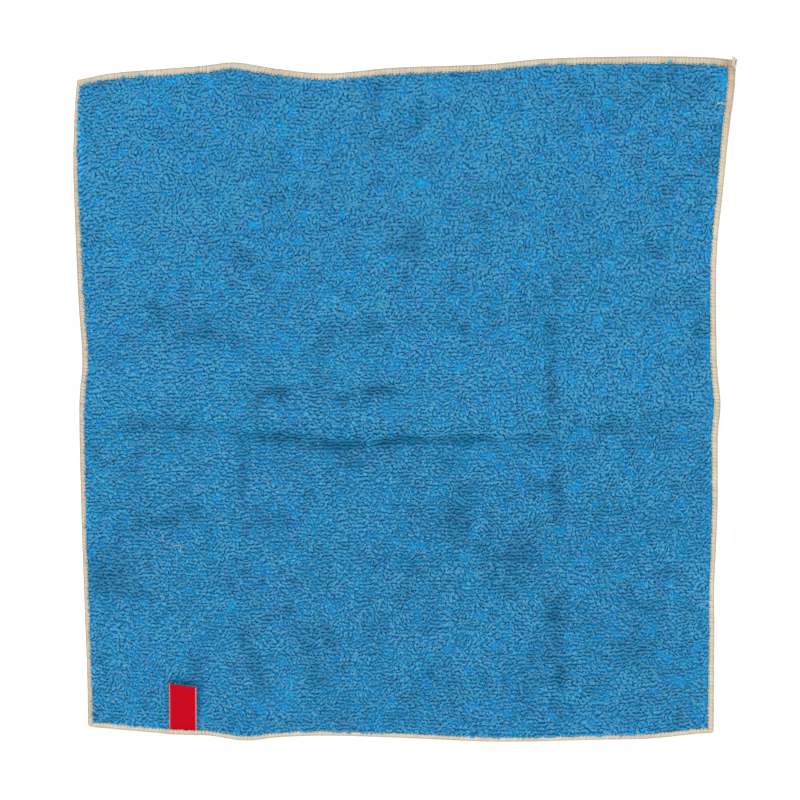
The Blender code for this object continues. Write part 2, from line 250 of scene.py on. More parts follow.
# How the stitches and their tone stray, and the wave of the tone along the edging
STITCH_WIDTH_STRAY, STITCH_HEIGHT_STRAY, THREAD_TONE_STRAY = 0.045, 0.02, 0.04
THREAD_TONE_WAVE, THREAD_WAVE_SIZE = 0.06, 7
RIM_POINTS = 160  # along each side, between the rounded corners
HEADING_REACH = 0.6  # how far to both sides the rim's heading is read
# One pair of strands, from the needle's row over the top, round the rim and back below:
# inset, height, distance of each strand from the pair's middle, width of a strand
STITCH_COURSE = (
    (3.75, 1.70, 0.28, 0.62),
    (3.40, 2.15, 0.36, 0.88),
    (2.70, 2.20, 0.46, 1.36),
    (1.30, 2.14, 0.46, 1.36),
    (0.55, 1.85, 0.36, 0.92),
    (0.30, 1.10, 0.42, 1.00),
    (0.70, 0.50, 0.46, 1.15),
    (3.50, 0.40, 0.42, 0.95),
)
# The needle's stitches along the inner rim and the chain along the outer one:
# distance along, inset, height
NEEDLE_COURSE = ((-0.98, 3.60, 1.80), (-0.50, 3.60, 2.24), (0.50, 3.60, 2.24), (0.98, 3.60, 1.80))
CHAIN_COURSE = ((-1.00, 0.42, 1.55), (-0.50, 0.24, 1.86), (0.50, 0.24, 1.86), (1.00, 0.42, 1.55))
NEEDLE_WIDE, CHAIN_WIDE = 0.42, 0.50
# Corners where the thread is bunched and browner: x, y, half width across, half width up, share
BUNCHED = (
    (172.5, 176.0, 4.5, 6.0, 0.8),
    (174.0, 162.0, 6.0, 22.0, 0.45),
    (-169.0, 167.0, 4.0, 3.0, 0.5),
    (161.0, -175.0, 4.0, 3.0, 0.35),
)
# Ends of thread left past the upper right corner: x, y and height along each
THREAD_ENDS = (
    ((173.4, 176.6, 2.2), (173.9, 178.6, 2.7), (174.2, 180.4, 2.6), (173.9, 181.9, 2.0)),
    ((174.2, 176.4, 2.2), (174.7, 178.8, 2.8), (175.0, 180.6, 2.4), (175.1, 181.6, 1.6)),
    ((174.6, 175.4, 2.1), (175.4, 177.4, 2.5), (175.9, 179.0, 2.1), (175.8, 180.6, 1.3)),
    ((173.6, 177.8, 2.3), (174.4, 178.8, 3.0), (175.2, 179.9, 3.0), (176.2, 180.1, 2.4)),
)
THREAD_END_WIDE = 1.05
END_SIDES, END_TAPER = 6, 0.5
# Loose fibres, in the same terms: a wisp beside the edging, and lint on the pile
LOOSE_FIBRES = (
    ((165.6, 156.6, 3.0), (167.6, 157.1, 3.9), (169.6, 156.3, 3.7), (171.4, 156.7, 3.0)),
    ((166.4, 157.3, 3.1), (168.4, 156.2, 4.0), (170.4, 155.9, 3.8), (171.6, 155.2, 3.1)),
    ((165.0, 156.0, 3.0), (166.9, 156.7, 3.6), (168.9, 156.9, 3.8), (170.6, 157.5, 3.2)),
    ((-128.6, -71.8, 2.7), (-128.3, -73.8, 3.2), (-128.1, -76.2, 2.7)),
    ((-124.0, -78.0, 2.7), (-120.5, -77.7, 3.2), (-117.5, -78.2, 2.7)),
    ((-119.2, -77.0, 2.7), (-118.9, -79.6, 3.2), (-118.5, -82.6, 2.7)),
    ((85.8, -38.8, 2.8), (86.6, -38.7, 3.2), (86.7, -39.4, 3.3), (86.0, -39.6, 2.9)),
    ((86.0, -39.1, 2.9), (86.4, -39.5, 3.4), (87.0, -39.2, 2.9)),
    ((-155.3, -159.9, 2.8), (-154.7, -160.0, 3.2), (-154.6, -160.7, 2.8)),
    ((-155.0, -160.4, 2.8), (-154.4, -160.3, 3.3), (-154.1, -159.9, 2.8)),
)
FIBRE_WIDE = 0.22

# Tape label
TAPE_THICK = 0.4
TAPE_LEFT, TAPE_RIGHT = -124.8, -110.5
TAPE_FOLD_LEFT, TAPE_FOLD_RIGHT = -151.0, -152.9  # y of the folded end at each side
TAPE_SEAM = 1.4  # how far inside the rim both ends lie
TAPE_LAYER_GAP = 0.3
TAPE_MARGIN, TAPE_SHOULDER = 1.2, 5.0  # beside the tape: pressed as under it, then less and less
PILE_PRESSED = 0.7  # how much lower the pile is under it
SELVEDGE = 0.3
SELVEDGE_FADES = 1.8  # the pale of the selvedge is gone by this many times its width
RIB_PITCH = 0.6
FOLD_TURN, FOLD_STEPS = 75, 9  # degrees up and down from the fold's middle
CLEAR = 0.3  # gap to the pile and the edging
# Share of the way from the edging to the fold, height above the pile, added gap between the layers
TAPE_COURSE = (
    (0.11, 0.0, 0.1),
    (0.37, 0.0, 0.2),
    (0.63, 0.1, 0.3),
    (0.92, 0.6, 0.5),
    (1.00, 1.0, 0.5),
)

# Outline seen from above, corner to corner: x, y
BOTTOM_SIDE = (
    (-168.3, -173.8),
    (-156.4, -175.0),
    (-124.6, -177.7),
    (-105.0, -178.5),
    (-84.8, -181.2),
    (-64.0, -179.3),
    (-37.1, -178.7),
    (2.7, -180.0),
    (50.4, -181.9),
    (106.1, -180.8),
    (129.9, -180.2),
    (153.8, -177.8),
    (163.9, -177.2),
)
RIGHT_SIDE = (
    (163.9, -177.2),
    (164.2, -122.5),
    (164.2, -98.6),
    (165.9, -58.9),
    (166.1, -20.0),
    (167.5, -3.2),
    (165.6, 20.7),
    (165.4, 74.0),
    (168.6, 108.2),
    (171.8, 140.0),
    (175.0, 165.0),
    (175.6, 179.9),
)
TOP_SIDE = (
    (-174.0, 169.2),
    (-156.4, 172.9),
    (-132.6, 175.0),
    (-108.0, 176.9),
    (-90.2, 178.7),
    (-68.0, 175.4),
    (-41.0, 172.9),
    (-5.3, 176.0),
    (42.4, 177.7),
    (74.2, 180.7),
    (122.0, 182.0),
    (158.0, 181.6),
    (175.6, 179.9),
)
LEFT_SIDE = (
    (-168.3, -173.8),
    (-168.7, -146.4),
    (-170.2, -106.6),
    (-171.8, -58.9),
    (-172.9, -5.0),
    (-171.3, 20.7),
    (-173.4, 52.5),
    (-175.4, 100.2),
    (-176.1, 128.0),
    (-175.2, 155.0),
    (-174.0, 169.2),
)

# Creases left by folding: start, middle and end (x, y), height (below 0 for a trough),
# and the width of the slope on the left and on the right of its run
CREASES = (
    ((-190, 4), (-105, -6), (-60, -15), 2.6, 13, 7),
    ((-92, -13), (-22, -16), (52, -15), 4.2, 12, 6),
    ((30, -15), (100, -6), (190, 6), 2.9, 17, 8),
    ((-92, 13), (-42, 12), (6, 11), 1.7, 7, 5),
    ((-158, 52), (-112, 44), (-74, 42), 1.8, 14, 8),
    ((-80, 46), (0, 46), (82, 44), 0.9, 12, 8),
    ((-88, 200), (-90, 120), (-87, 40), 1.5, 9, 9),
    ((-86, -30), (-85, -110), (-84, -200), 1.9, 10, 8),
    ((62, 120), (66, -40), (70, -200), 1.5, 9, 14),
    ((96, 112), (95, -40), (98, -200), 1.6, 15, 9),
    ((14, -20), (30, -46), (44, -84), 1.1, 7, 6),
    ((-126, -70), (-98, -70), (-70, -84), 1.0, 9, 7),
    ((112, -122), (132, -126), (146, -142), 1.2, 10, 7),
)

# Low swells and hollows of the cloth: x, y, half width across, half width up, height
SWELLS = (
    (-128, 120, 34, 30, 1.2),
    (-40, 150, 30, 22, 1.5),
    (0, 108, 22, 28, 0.8),
    (32, 152, 20, 14, -0.8),
    (88, 132, 34, 30, 1.2),
    (140, 168, 16, 10, 1.4),
    (138, 78, 20, 18, 1.0),
    (120, 34, 44, 14, 1.4),
    (-20, 74, 40, 16, 0.9),
    (-140, 22, 30, 12, 1.1),
    (-138, -64, 22, 16, 1.0),
    (-50, -60, 26, 22, 0.9),
    (-128, -118, 30, 12, 1.3),
    (-54, -134, 22, 26, 1.0),
    (18, -128, 28, 26, 0.9),
    (136, -60, 22, 22, 0.9),
    (150, -110, 12, 40, 1.5),
)
RESTING = 0.25  # unevenness below this lies flat under the cloth's own weight
SOFT_LIFT = 0.7
CREASE_POINTS, CREASE_END, CREASE_FADE = 25, 0.04, 0.6  # along its run, and how it fades out

# Colours
# The roots and the ground between the loops are painted brighter than the tips, as light that lifts the
# shade between the loops
TERRY_TIP = (0.048, 0.238, 0.424, 1.0)
TERRY_ROOT = (0.005, 0.540, 1.000, 1.0)
GROUND_DARK = (0.006, 0.290, 0.600, 1.0)
GROUND_LIGHT = (0.016, 0.320, 0.620, 1.0)
THREAD_BEIGE = (0.50, 0.44, 0.34, 1.0)
THREAD_BUNCHED = (0.36, 0.24, 0.15, 1.0)
THREAD_END_DARK = (0.38, 0.37, 0.32, 1.0)
FIBRE_PALE = (0.52, 0.60, 0.66, 1.0)
TAPE_RED = (0.36, 0.0015, 0.009, 1.0)
TAPE_SELVEDGE = (0.54, 0.17, 0.25, 1.0)
TABLE_WHITE = (0.94, 0.94, 0.94, 1.0)
TABLE_SHADE = (0.91, 0.91, 0.91, 1.0)


def smooth_curve(points, steps_between=12):
    """Points along a smooth curve through the given ones."""
    given = np.array(points, float)
    ends = np.vstack([2 * given[0] - given[1], given, 2 * given[-1] - given[-2]])
    curve = []
    for before, here, there, after in zip(ends, ends[1:], ends[2:], ends[3:]):
        square = 2 * before - 5 * here + 4 * there - after
        cube = 3 * here - before - 3 * there + after
        for t in np.linspace(0, 1, steps_between, endpoint=False):
            curve.append(0.5 * (2 * here + (there - before) * t + square * t**2 + cube * t**3))
    curve.append(given[-1])
    return np.array(curve)


def towel_sides():
    """The four sides as smooth curves centred on the outline's bounding box, and its middle."""
    curves = [smooth_curve(side) for side in (BOTTOM_SIDE, RIGHT_SIDE, TOP_SIDE, LEFT_SIDE)]
    outline = np.vstack(curves)
    middle = (outline.min(axis=0) + outline.max(axis=0)) / 2
    return [curve - middle for curve in curves], middle


SIDES, MIDDLE = towel_sides()


def run_of(curve):
    """Length of a curve up to each of its points."""
    return np.concatenate([[0], np.cumsum(np.linalg.norm(np.diff(curve, axis=0), axis=1))])


def along(curve, share):
    """Points at the given shares of a curve's length."""
    run = run_of(curve)
    return np.stack([np.interp(share * run[-1], run, curve[:, axis]) for axis in (0, 1)], axis=-1)


def on_towel(u, v):
    """The point of the towel at each share u across and v up, blended from its four sides."""
    bottom, right, top, left = SIDES
    across = (1 - v)[..., None] * along(bottom, u) + v[..., None] * along(top, u)
    up = (1 - u)[..., None] * along(left, v) + u[..., None] * along(right, v)
    low = (1 - u)[..., None] * bottom[0] + u[..., None] * bottom[-1]
    high = (1 - u)[..., None] * top[0] + u[..., None] * top[-1]
    return across + up - (1 - v)[..., None] * low - v[..., None] * high


def crease_height(points, start, middle, end, height, left_wide, right_wide):
    """Height of one crease over the points; it fades out towards both of its ends."""
    start, middle, end = (np.array(place, float) for place in (start, middle, end))
    t = np.linspace(0, 1, CREASE_POINTS)[:, None]
    bend = 2 * middle - (start + end) / 2
    run = (1 - t) ** 2 * start + 2 * t * (1 - t) * bend + t**2 * end
    away = points[:, None, :] - run[None, :, :]
    near = np.argmin((away**2).sum(axis=2), axis=1)
    heading = np.gradient(run, axis=0)
    heading = (heading / np.linalg.norm(heading, axis=1)[:, None])[near]
    offset = away[np.arange(len(points)), near]
    side = heading[:, 0] * offset[:, 1] - heading[:, 1] * offset[:, 0]
    past = (heading * offset).sum(axis=1)
    wide = np.where(side > 0, left_wide, right_wide)
    fade = np.sin(np.pi * np.clip(t[near, 0], CREASE_END, 1 - CREASE_END)) ** CREASE_FADE
    return height * fade * np.exp(-((side / wide) ** 2) - (past / wide) ** 2)


def spots(points, table):
    """Sum of a table's soft spots over the points."""
    places = points + MIDDLE
    total = np.zeros(len(places))
    for x, y, half_wide, half_high, share in table:
        away = ((places[:, 0] - x) / half_wide) ** 2 + ((places[:, 1] - y) / half_high) ** 2
        total += share * np.exp(-away)
    return total


def lift_at(points):
    """How far the cloth stands off the surface at each point, 0 where it rests."""
    lift = spots(points, SWELLS)
    for crease in CREASES:
        lift += crease_height(points + MIDDLE, *crease)
    raised = np.clip(lift - RESTING, 0, None)
    return raised**2 / (raised + SOFT_LIFT)


def slope_at(points):
    """Steepness of the cloth in x and y at each point."""
    step = 0.5
    slopes = []
    for shift in ((step, 0), (0, step)):
        slopes.append((lift_at(points + shift) - lift_at(points - np.array(shift))) / (2 * step))
    return np.stack(slopes, axis=1)


def drift(points, size, seed):
    """Soft random field over the points, from -1 to 1, whose swells have the given size."""
    cells = np.random.default_rng(seed).uniform(-1, 1, (DRIFT_CELLS, DRIFT_CELLS))
    x, y = (points / size).T + DRIFT_MIDDLE
    column, row = np.floor(x).astype(int), np.floor(y).astype(int)
    s, t = x - column, y - row
    s, t = s * s * (3 - 2 * s), t * t * (3 - 2 * t)
    low = cells[column, row] * (1 - s) + cells[column + 1, row] * s
    high = cells[column, row + 1] * (1 - s) + cells[column + 1, row + 1] * s
    return low * (1 - t) + high * t


def under_tape(points):
    """1 where a point lies under the tape or beside it, falling to 0 past its shoulders."""
    x, y = (points + MIDDLE).T
    aside = np.maximum(TAPE_LEFT - TAPE_MARGIN - x, x - TAPE_RIGHT - TAPE_MARGIN)
    share = np.clip(1 - np.maximum(aside, 0) / TAPE_SHOULDER, 0, 1)
    return np.where(y < TAPE_FOLD_RIGHT, share, 0.0)


# Making meshes


def add_piece(name, mesh, look):
    """A finished mesh in metres as a piece of the towel."""
    mesh.materials.append(look)
    piece = bpy.data.objects.new(name, mesh)
    bpy.context.scene.collection.objects.link(piece)
    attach(piece, "root")
    return piece


def mesh_of(name, bm):
    """A smooth mesh in metres from a bmesh in millimetres."""
    bmesh.ops.recalc_face_normals(bm, faces=bm.faces)
    bmesh.ops.scale(bm, vec=(MM, MM, MM), verts=bm.verts)
    mesh = bpy.data.meshes.new(name)
    bm.to_mesh(mesh)
    bm.free()
    mesh.shade_smooth()
    return mesh


def grid_corners(bm, columns, rows):
    """The corners of a new grid, each with its column and its row."""
    bmesh.ops.create_grid(bm, x_segments=columns - 1, y_segments=rows - 1, size=1.0)
    for vert in bm.verts:
        column = round((vert.co.x + 1) / 2 * (columns - 1))
        row = round((vert.co.y + 1) / 2 * (rows - 1))
        yield vert, column, row


def strand(path, widths, thick, sides, across=(1, 0, 0)):
    """A closed tube through the path's points; across is the way its width is measured."""
    path = np.array(path, float)
    ahead = np.gradient(path, axis=0)
    ahead /= np.linalg.norm(ahead, axis=1)[:, None]
    across = np.broadcast_to(np.array(across, float), path.shape)
    side = across - (across * ahead).sum(axis=1)[:, None] * ahead
    side /= np.linalg.norm(side, axis=1)[:, None]
    over = np.cross(ahead, side)
    bm = bmesh.new()
    turn = bm.verts.layers.float.new("turn")
    share = bm.verts.layers.float.new("share")
    ring = bmesh.ops.create_circle(bm, cap_ends=True, segments=sides, radius=1.0)["verts"]
    for index, vert in enumerate(ring):
        vert[turn] = index / sides
    start = 0.25 - 0.5 / sides  # a flat side comes uppermost
    end = next(iter(bm.faces))
    for step, (point, width) in enumerate(zip(path, np.broadcast_to(widths, len(path)))):
        if step:
            made = bmesh.ops.extrude_face_region(bm, geom=[end])["geom"]
            if step > 1:
                bmesh.ops.delete(bm, geom=[end], context="FACES_ONLY")
            ring = [item for item in made if isinstance(item, bmesh.types.BMVert)]
            end = next(item for item in made if isinstance(item, bmesh.types.BMFace))
        for vert in ring:
            angle = 2 * math.pi * (vert[turn] + start)
            out = math.cos(angle) * width * side[step] + math.sin(angle) * thick * over[step]
            vert.co = point + out / 2
            vert[share] = step / (len(path) - 1)
    return bm


def template(bm):
    """Corners, triangles and unrolled corners of a strand that will be repeated."""
    bmesh.ops.recalc_face_normals(bm, faces=bm.faces)
    bmesh.ops.triangulate(bm, faces=bm.faces)
    turn = bm.verts.layers.float["turn"]
    share = bm.verts.layers.float["share"]
    bm.verts.index_update()
    corners = np.array([vert.co for vert in bm.verts])
    triangles = np.array([[vert.index for vert in face.verts] for face in bm.faces])
    spun = np.array([vert[turn] for vert in bm.verts])[triangles]
    run = np.array([vert[share] for vert in bm.verts])[triangles]
    capped = np.ptp(run, axis=1) == 0
    wraps = (np.ptp(spun, axis=1) > 0.5) & ~capped
    spun = np.where(wraps[:, None] & (spun < 0.5), spun + 1, spun)
    run = np.where(capped[:, None], np.abs(run - 0.03 * spun), run)
    bm.free()
    return corners, triangles, np.stack([run, spun], axis=-1)


def joined_copies(name, groups):
    """One mesh with copies of small shapes, and for each of its corners the copy it belongs to.

    A group is its shapes, the shape picked for each copy, each copy's frame and its place. The
    shapes of a group share their triangles. Each copy has its own cell in the map OFBake, and the
    map Strand runs along and round every copy.
    """
    total = sum(len(picks) for shapes, picks, frames, places in groups)
    cells = math.ceil(math.sqrt(total))
    all_corners, all_numbers, all_owners, on_cells, on_strands = [], [], [], [], []
    copies_before = corners_before = 0
    for shapes, picks, frames, places in groups:
        corners = np.stack([shape[0] for shape in shapes])[picks]
        corners = np.einsum("nij,nvj->nvi", frames, corners) + places[:, None, :]
        corners[:, :, 2] = np.maximum(corners[:, :, 2], OFF_TABLE)
        count, size = corners.shape[:2]
        triangles, unrolled = shapes[0][1:]
        owners = copies_before + np.arange(count)
        firsts = corners_before + np.arange(count) * size
        cell = np.stack(np.divmod(owners, cells), axis=-1)[:, None, :]
        flat = np.broadcast_to(unrolled.reshape(-1, 2), (count, triangles.size, 2))
        all_corners.append(corners.reshape(-1, 3) * MM)
        all_numbers.append((firsts[:, None] + triangles.reshape(1, -1)).ravel())
        all_owners.append(np.repeat(owners, size))
        on_cells.append((cell + 0.1 + 0.8 * flat) / cells)
        on_strands.append(flat)
        copies_before += count
        corners_before += count * size
    numbers = np.concatenate(all_numbers).astype(np.int32)
    mesh = bpy.data.meshes.new(name)
    mesh.vertices.add(corners_before)
    mesh.vertices.foreach_set("co", np.vstack(all_corners).astype(np.float32).ravel())
    mesh.loops.add(len(numbers))
    mesh.loops.foreach_set("vertex_index", numbers)
    mesh.polygons.add(len(numbers) // 3)
    mesh.polygons.foreach_set("loop_start", np.arange(0, len(numbers), 3, dtype=np.int32))
    mesh.update(calc_edges=True)
    mesh.shade_smooth()
    for map_name, parts in (("OFBake", on_cells), ("Strand", on_strands)):
        places_on_map = np.concatenate([part.ravel() for part in parts]).astype(np.float32)
        mesh.uv_layers.new(name=map_name).data.foreach_set("uv", places_on_map)
    return mesh, np.concatenate(all_owners)


def add_attribute(mesh, name, values):
    """A number at every corner of a mesh."""
    made = mesh.attributes.new(name, "FLOAT", "POINT")
    made.data.foreach_set("value", np.asarray(values, np.float32))


def turned(turn, lean):
    """Frames that lean back about X and then turn about Z."""
    ct, st, cl, sl = np.cos(turn), np.sin(turn), np.cos(lean), np.sin(lean)
    zero = np.zeros_like(turn)
    rows = [ct, -st * cl, st * sl, st, ct * cl, -ct * sl, zero, sl, cl]
    return np.stack(rows, axis=-1).reshape(-1, 3, 3)


# Finishes


def new_look(name, roughness):
    """A material with its nodes, its links and its shader."""
    look = bpy.data.materials.new(name)
    look.use_nodes = True
    nodes = look.node_tree.nodes
    shader = nodes["Principled BSDF"]
    shader.inputs["Roughness"].default_value = roughness
    return look, nodes, look.node_tree.links, shader


def cotton(name):
    """The same for dyed cotton."""
    look, nodes, links, shader = new_look(name, 0.92)
    shader.inputs["Specular IOR Level"].default_value = 0.04
    shader.inputs["Sheen Weight"].default_value = 0.45
    shader.inputs["Sheen Roughness"].default_value = 0.5
    shader.inputs["Sheen Tint"].default_value = (0.04, 0.5, 0.95, 1.0)
    return look, nodes, links, shader


def attribute(nodes, name):
    """A number that the mesh carries at its corners."""
    node = nodes.new("ShaderNodeAttribute")
    node.attribute_name = name
    return node.outputs["Fac"]


def speckle(nodes, links, scale):
    """Soft random spots over the object."""
    coords = nodes.new("ShaderNodeTexCoord")
    noise = nodes.new("ShaderNodeTexNoise")
    noise.inputs["Scale"].default_value = scale
    links.new(coords.outputs["Object"], noise.inputs["Vector"])
    return noise.outputs["Fac"]


def ramp(nodes, links, share, first, last, start=0.0, stop=1.0):
    """From the first colour to the last as the share goes from start to stop."""
    node = nodes.new("ShaderNodeValToRGB")
    for end, place, colour in zip(node.color_ramp.elements, (start, stop), (first, last)):
        end.position = place
        end.color = colour
    links.new(share, node.inputs["Fac"])
    return node.outputs["Color"]


def toned(nodes, links, shader, colour, tone):
    """Gives the shader a colour whose brightness follows the tone."""
    tint = nodes.new("ShaderNodeHueSaturation")
    links.new(colour, tint.inputs["Color"])
    links.new(tone, tint.inputs["Value"])
    links.new(tint.outputs["Color"], shader.inputs["Base Color"])
    return tint


def bumps(nodes, links, shader, height, strength, deep):
    """Fine relief, its depth in metres."""
    bump = nodes.new("ShaderNodeBump")
    bump.inputs["Strength"].default_value = strength
    bump.inputs["Distance"].default_value = deep
    links.new(height, bump.inputs["Height"])
    links.new(bump.outputs["Normal"], shader.inputs["Normal"])


def twist(nodes, links, shader, turns, deep):
    """Relief of plied yarn that winds along each strand of a joined mesh."""
    strand_map = nodes.new("ShaderNodeUVMap")
    strand_map.uv_map = "Strand"
    scale = nodes.new("ShaderNodeMapping")
    scale.inputs["Scale"].default_value = (turns, 2, 1)
    plies = nodes.new("ShaderNodeTexWave")
    plies.wave_type = "BANDS"
    plies.bands_direction = "DIAGONAL"
    plies.inputs["Scale"].default_value = math.pi / 5  # one wave for each unit of the map
    links.new(strand_map.outputs["UV"], scale.inputs["Vector"])
    links.new(scale.outputs["Vector"], plies.inputs["Vector"])
    bumps(nodes, links, shader, plies.outputs["Fac"], 0.6, deep)


def mottled(name, roughness, scale, first, last, start=0.0):
    """A matt finish that changes softly between two near tones."""
    look, nodes, links, shader = new_look(name, roughness)
    colour = ramp(nodes, links, speckle(nodes, links, scale), first, last, start)
    links.new(colour, shader.inputs["Base Color"])
    return look


def loop_look():
    """Blue cotton yarn, its tone uneven from loop to loop, painted brighter at the roots to lift their
    shade.
    """
    look, nodes, links, shader = cotton("terry_loops_look")
    colour = ramp(nodes, links, attribute(nodes, "depth"), TERRY_ROOT, TERRY_TIP, stop=0.85)
    tint = toned(nodes, links, shader, colour, attribute(nodes, "tone"))
    links.new(attribute(nodes, "hue"), tint.inputs["Hue"])
    twist(nodes, links, shader, 6, 0.0001)
    return look


def base_look():
    """Ground between the loops, and the short loops of the lower face."""
    look, nodes, links, shader = cotton("terry_base_look")
    fine = speckle(nodes, links, 700)
    # The upper face's ground is painted darker than the lower face, as shade under the loops
    shaded = nodes.new("ShaderNodeMath")
    shaded.operation = "MULTIPLY_ADD"
    shaded.inputs[1].default_value = -0.25
    links.new(attribute(nodes, "ground"), shaded.inputs[0])
    links.new(fine, shaded.inputs[2])
    colour = ramp(nodes, links, shaded.outputs["Value"], GROUND_DARK, GROUND_LIGHT, 0.2, 0.65)
    toned(nodes, links, shader, colour, attribute(nodes, "tone"))
    bumps(nodes, links, shader, fine, 0.9, 0.0008)
    return look


def thread_look():
    """Spun overlock thread, twisted, browner where it is bunched."""
    look, nodes, links, shader = new_look("edging_thread_look", 0.75)
    shader.inputs["Specular IOR Level"].default_value = 0.2
    shader.inputs["Sheen Weight"].default_value = 0.1
    colour = ramp(nodes, links, attribute(nodes, "bunched"), THREAD_BEIGE, THREAD_BUNCHED)
    toned(nodes, links, shader, colour, attribute(nodes, "tone"))
    twist(nodes, links, shader, 9, 0.00012)
    return look


def end_look():
    """Cut ends of the edging's thread, greyer and frayed."""
    return mottled("thread_end_look", 0.85, 1500, THREAD_END_DARK, THREAD_BEIGE, 0.3)


def fibre_look():
    """Pale loose fibre."""
    return mottled("loose_fibre_look", 0.9, 900, THREAD_BEIGE, FIBRE_PALE)


def tape_look():
    """Ribbed woven tape with pale selvedges."""
    look, nodes, links, shader = new_look("label_tape_look", 0.85)
    shader.inputs["Specular IOR Level"].default_value = 0.02
    coords = nodes.new("ShaderNodeTexCoord")
    ribs = nodes.new("ShaderNodeTexWave")
    ribs.wave_type = "BANDS"
    ribs.bands_direction = "Y"
    ribs.inputs["Scale"].default_value = math.pi / 10 / (RIB_PITCH * MM)
    ribs.inputs["Distortion"].default_value = 0.4
    spread = nodes.new("ShaderNodeMapRange")
    spread.inputs["To Min"].default_value = 0.8
    spread.inputs["To Max"].default_value = 1.2
    links.new(coords.outputs["Object"], ribs.inputs["Vector"])
    links.new(speckle(nodes, links, 1800), spread.inputs["Value"])
    colour = ramp(nodes, links, attribute(nodes, "selvedge"), TAPE_RED, TAPE_SELVEDGE)
    toned(nodes, links, shader, colour, spread.outputs["Result"])
    bumps(nodes, links, shader, ribs.outputs["Fac"], 0.5, 0.0001)
    return look


def table_look():
    """Matt white table, with the faintest unevenness."""
    return mottled("table_look", 0.9, 6, TABLE_SHADE, TABLE_WHITE)


# Cloth


def steps_from(size):
    """Mesh lines across a size: close together at both rims, evenly spaced between them."""
    inner = size - 2 * RIM_STEPS[-1]
    count = round(inner / BASE_STEP)
    between = RIM_STEPS[-1] + inner * np.arange(1, count) / count
    return np.concatenate([RIM_STEPS, between, size - np.array(RIM_STEPS[::-1])])


def make_base(look):
    """Base cloth and its lower pile on the folds of the solid; its rim goes into the edging."""
    across, up = steps_from(TOWEL_WIDE), steps_from(TOWEL_LONG)
    inset_x = np.minimum(across, TOWEL_WIDE - across)
    inset_y = np.minimum(up, TOWEL_LONG - up)
    in_edging = np.minimum(inset_x[:, None], inset_y[None, :]) < BAND_WIDE
    u, v = np.meshgrid(across / TOWEL_WIDE, up / TOWEL_LONG, indexing="ij")
    field = on_towel(u, v)
    lift = lift_at(field.reshape(-1, 2)).reshape(u.shape)
    top = lift + np.where(in_edging, BASE_TOP, ROOTS_TOP)
    low = lift + np.where(in_edging, BASE_LOW, 0.0)
    # The ground's tone carries painted shade where the pile is parted and inside the edging
    tone = nap_shade_and_light(nap_at(field.reshape(-1, 2)), PARTED_GROUND_SHADE).reshape(u.shape)
    tone = np.clip(tone, *BASE_TONES) * np.where(in_edging, IN_EDGING_SHADE, 1.0)
    bm = bmesh.new()
    underside = bm.verts.layers.float.new("underside")
    ground = bm.verts.layers.float.new("ground")
    shade = bm.verts.layers.float.new("tone")
    for vert, column, row in grid_corners(bm, len(across), len(up)):
        vert.co = (*field[column, row], top[column, row])
        vert[underside] = low[column, row]
        vert[ground] = 1.0
        vert[shade] = tone[column, row]
    for item in bmesh.ops.extrude_face_region(bm, geom=bm.faces[:])["geom"]:
        if isinstance(item, bmesh.types.BMVert):
            item.co.z = item[underside]
            item[ground] = 0.0
    piece = add_piece("terry_base", mesh_of("terry_base", bm), look)
    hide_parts("terry_cloth")
    return piece


def loop_shapes():
    """The pile's loops: arches of yarn on the X axis, each with its own curl."""
    x, rise = np.array(LOOP_ARCH).T
    shapes = []
    for curl, bend, half_span, height in LOOP_CURLS:
        turn = math.radians(curl) * rise
        path = np.stack([np.cos(turn) * x, np.sin(turn) * x, rise * height], axis=1)
        path[:, 0] *= half_span
        path[:, 1] = path[:, 1] * half_span + bend * rise**2
        side = np.stack([-np.sin(turn), np.cos(turn), 0 * turn], axis=1)
        shapes.append(template(strand(path, YARN_WIDE, YARN_THICK, LOOP_SIDES, side)))
    return shapes


def loop_places():
    """Roots of the pile's loops, row by row between the visible parts of the edging."""
    columns, rows = round(TOWEL_WIDE / LOOP_PITCH), round(TOWEL_LONG / ROW_PITCH)
    across, up = np.meshgrid(np.linspace(0, 1, columns), np.linspace(0, 1, rows))
    across = across + 0.5 / columns * (np.arange(rows) % 2)[:, None]
    start_x = edging_shows("left", up) + PILE_PAST_EDGING["left"]
    stop_x = TOWEL_WIDE - edging_shows("right", up) - PILE_PAST_EDGING["right"]
    start_y = edging_shows("bottom", across) + PILE_PAST_EDGING["bottom"]
    stop_y = TOWEL_LONG - edging_shows("top", across) - PILE_PAST_EDGING["top"]
    x = start_x + across * (stop_x - start_x)
    y = start_y + up * (stop_y - start_y)
    ragged = np.random.default_rng(SEEDS["rim"]).normal(0, PILE_RAGGED, (2, *x.shape))
    x += ragged[0] * np.exp(-np.minimum(x - start_x, stop_x - x) / ROW_PITCH)
    y += ragged[1] * np.exp(-np.minimum(y - start_y, stop_y - y) / ROW_PITCH)
    return on_towel(x / TOWEL_WIDE, y / TOWEL_LONG)[across < 1]


def nap_at(points):
    """How far the pile is parted (below 0) or closed up (above 0), with small random patches."""
    nap = spots(points, NAP_MARKS)
    for size, amount, seed in NAP_PATCHES:
        nap += amount * drift(points, size, seed)
    return np.clip(nap, *NAP_BOUNDS)


def nap_shade_and_light(nap, parted):
    """Painted shade on the yarn or ground where the pile is parted, painted light where it is closed up.
    """
    return 1 + np.where(nap < 0, parted, CLOSED_LIGHT) * nap


